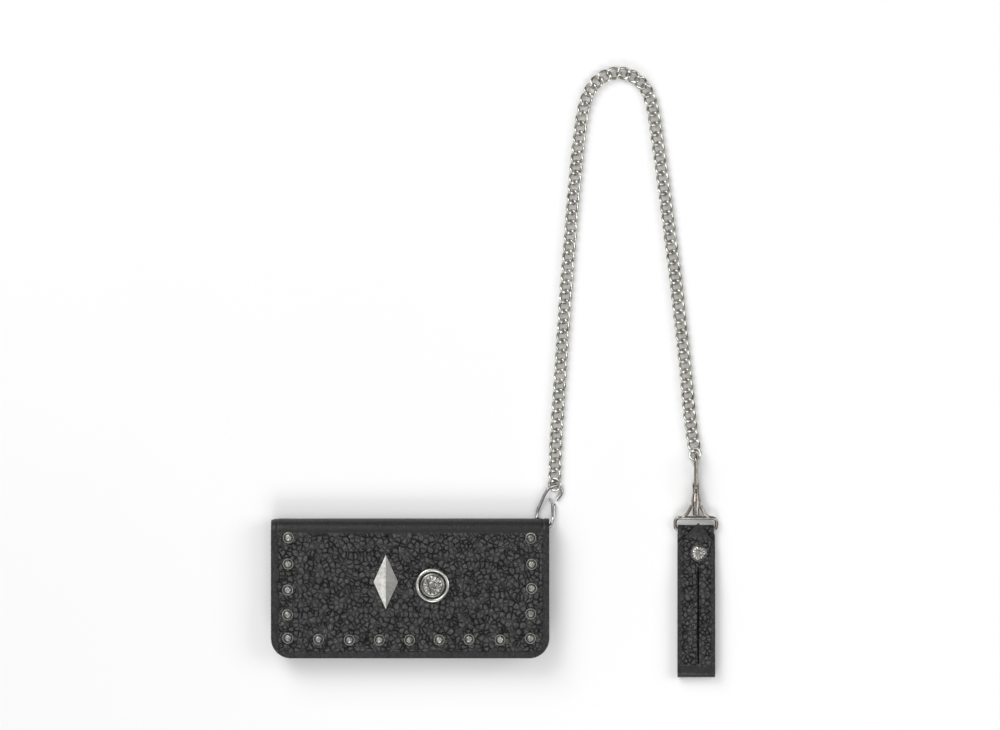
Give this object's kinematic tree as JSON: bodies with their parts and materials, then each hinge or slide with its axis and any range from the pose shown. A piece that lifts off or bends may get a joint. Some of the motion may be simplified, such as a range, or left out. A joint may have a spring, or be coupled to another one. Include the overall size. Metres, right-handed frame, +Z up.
{
  "type": "chain wallet",
  "caption": "Long bifold leather wallet with rim studs, tethered by a twisted curb chain to a swivel snap hook and a snap-closed belt strap; the cover opens, the chain bends, the clips move.",
  "frame": {"origin": "middle of the back cover, on its outer face, which rests on the table", "axes": "+X along the wallet to the end with the wire hook, +Y towards the fold and up the chain, +Z up out of the front cover"},
  "size_m": [0.3123, 0.4272, 0.021],
  "materials": {
    "black_leather": "pebbled grain, semi-matte",
    "lining_leather": "smooth, matte",
    "zip_tape": "woven",
    "steel": "polished",
    "dark_nickel": "smoky polished",
    "aged_silver": "antiqued, dark in the recesses"
  },
  "bodies": {
    "back": {"back_cover": "black_leather", "back_lining": "lining_leather", "back_note_panel": "lining_leather", "card_slots_left": "lining_leather", "card_slots_right": "lining_leather", "eyelet": "steel", "eyelet_washer": "steel"},
    "front": {"front_cover": "black_leather", "front_lining": "lining_leather", "stud_rims": "aged_silver", "stud_domes": "aged_silver", "stud_backs": "steel", "lozenge_plate": "aged_silver", "concho_ring": "aged_silver", "concho_boss": "aged_silver", "ornament_pins": "steel", "front_note_panel": "lining_leather", "coin_pocket_back": "lining_leather", "coin_pocket_front": "lining_leather", "coin_pocket_welt": "lining_leather", "zip_tapes": "zip_tape", "zip_teeth": "steel", "zip_stops": "steel"},
    "slider": {"zip_slider": "steel"},
    "puller": {"zip_puller": "steel"},
    "wire_hook": {"wire_hook": "steel"},
    "latch": {"latch_leg": "steel", "latch_fork": "steel"},
    "ring_a": {"hook_ring": "steel"},
    "chain_01": {"chain_01": "steel"},
    "chain_02": {"chain_02": "steel"},
    "chain_03": {"chain_03": "steel"},
    "chain_04": {"chain_04": "steel"},
    "chain_05": {"chain_05": "steel"},
    "chain_06": {"chain_06": "steel"},
    "chain_07": {"chain_07": "steel"},
    "chain_08": {"chain_08": "steel"},
    "chain_09": {"chain_09": "steel"},
    "chain_10": {"chain_10": "steel"},
    "ring_b": {"snap_ring": "steel"},
    "snap_hook": {"snap_hook_body": "dark_nickel", "gate_pin": "dark_nickel"},
    "gate": {"snap_gate": "dark_nickel"},
    "swivel": {"swivel_loop": "dark_nickel"},
    "strap": {"strap_back": "black_leather", "snap_stud": "steel", "snap_post": "steel"},
    "flap": {"strap_flap": "black_leather", "snap_cap": "aged_silver", "snap_socket": "steel"}
  },
  "joints": [
    {"name": "cover_hinge", "type": "hinge", "parent": "back", "child": "front", "pos_m": [0, 0.04865, 0.009], "axis": [-1, 0, 0], "range_deg": [0, 138]},
    {"name": "zip_slide", "type": "slide", "parent": "front", "child": "slider", "axis": [1, 0, 0], "range_m": [0, 0.148]},
    {"name": "puller_swing", "type": "hinge", "parent": "slider", "child": "puller", "pos_m": [-0.0751, 0.022, 0.01042], "axis": [0, 1, 0], "range_deg": [0, 7]},
    {"name": "hook_swing", "type": "hinge", "parent": "back", "child": "wire_hook", "pos_m": [0.0885, 0.04555, 0.00405], "axis": [1, 0, 0], "range_deg": [0, 7]},
    {"name": "latch_flex", "type": "hinge", "parent": "wire_hook", "child": "latch", "pos_m": [0.0944, 0.0412, 0.00517], "axis": [0, 0, 1], "range_deg": [0, 6], "stiffness_Nm_per_rad": 0.02},
    {"name": "hook_ring_pivot", "type": "hinge", "parent": "wire_hook", "child": "ring_a", "pos_m": [0.1009, 0.0698, 0.00245], "axis": [0, 0, 1], "range_deg": [-2, 10]},
    {"name": "chain_01_bend", "type": "hinge", "parent": "ring_a", "child": "chain_01", "pos_m": [0.10093, 0.0751, 0.00255], "axis": [0, 0, 1], "range_deg": [-1, 8]},
    {"name": "chain_02_bend", "type": "hinge", "parent": "chain_01", "child": "chain_02", "pos_m": [0.10456, 0.14462, 0.00255], "axis": [0, 0, 1], "range_deg": [-1, 8]},
    {"name": "chain_03_bend", "type": "hinge", "parent": "chain_02", "child": "chain_03", "pos_m": [0.10931, 0.21405, 0.00255], "axis": [0, 0, 1], "range_deg": [-1, 8]},
    {"name": "chain_04_bend", "type": "hinge", "parent": "chain_03", "child": "chain_04", "pos_m": [0.11424, 0.2765, 0.00255], "axis": [0, 0, 1], "range_deg": [-1, 8]},
    {"name": "chain_05_bend", "type": "hinge", "parent": "chain_04", "child": "chain_05", "pos_m": [0.12205, 0.3386, 0.00255], "axis": [0, 0, 1], "range_deg": [0, 18]},
    {"name": "chain_06_bend", "type": "hinge", "parent": "chain_05", "child": "chain_06", "pos_m": [0.13889, 0.35929, 0.00255], "axis": [0, 0, 1], "range_deg": [0, 18]},
    {"name": "chain_07_bend", "type": "hinge", "parent": "chain_06", "child": "chain_07", "pos_m": [0.16357, 0.35081, 0.00255], "axis": [0, 0, 1], "range_deg": [0, 18]},
    {"name": "chain_08_bend", "type": "hinge", "parent": "chain_07", "child": "chain_08", "pos_m": [0.17605, 0.28982, 0.00255], "axis": [0, 0, 1], "range_deg": [-1, 8]},
    {"name": "chain_09_bend", "type": "hinge", "parent": "chain_08", "child": "chain_09", "pos_m": [0.18406, 0.2277, 0.00255], "axis": [0, 0, 1], "range_deg": [-1, 8]},
    {"name": "chain_10_bend", "type": "hinge", "parent": "chain_09", "child": "chain_10", "pos_m": [0.19112, 0.16546, 0.00255], "axis": [0, 0, 1], "range_deg": [-1, 8]},
    {"name": "snap_ring_pivot", "type": "hinge", "parent": "chain_10", "child": "ring_b", "pos_m": [0.19901, 0.09628, 0.0027], "axis": [0, 0, 1], "range_deg": [-2, 10]},
    {"name": "snap_hook_pivot", "type": "hinge", "parent": "ring_b", "child": "snap_hook", "pos_m": [0.1996, 0.0899, 0.0046], "axis": [0, 0, 1], "range_deg": [-2, 15]},
    {"name": "gate_lever", "type": "hinge", "parent": "snap_hook", "child": "gate", "pos_m": [0.1996, 0.0712, 0.0021], "axis": [1, 0, 0], "range_deg": [0, 14], "stiffness_Nm_per_rad": 0.01},
    {"name": "swivel_turn", "type": "hinge", "parent": "snap_hook", "child": "swivel", "pos_m": [0.1996, 0.057, 0.006], "axis": [0, 1, 0], "continuous": true},
    {"name": "strap_swing", "type": "hinge", "parent": "swivel", "child": "strap", "pos_m": [0.1996, 0.0412, 0.0028], "axis": [-1, 0, 0], "range_deg": [0, 60]},
    {"name": "flap_hinge", "type": "hinge", "parent": "strap", "child": "flap", "pos_m": [0.1999, -0.06265, 0.004], "axis": [1, 0, 0], "range_deg": [0, 175]}
  ]
}
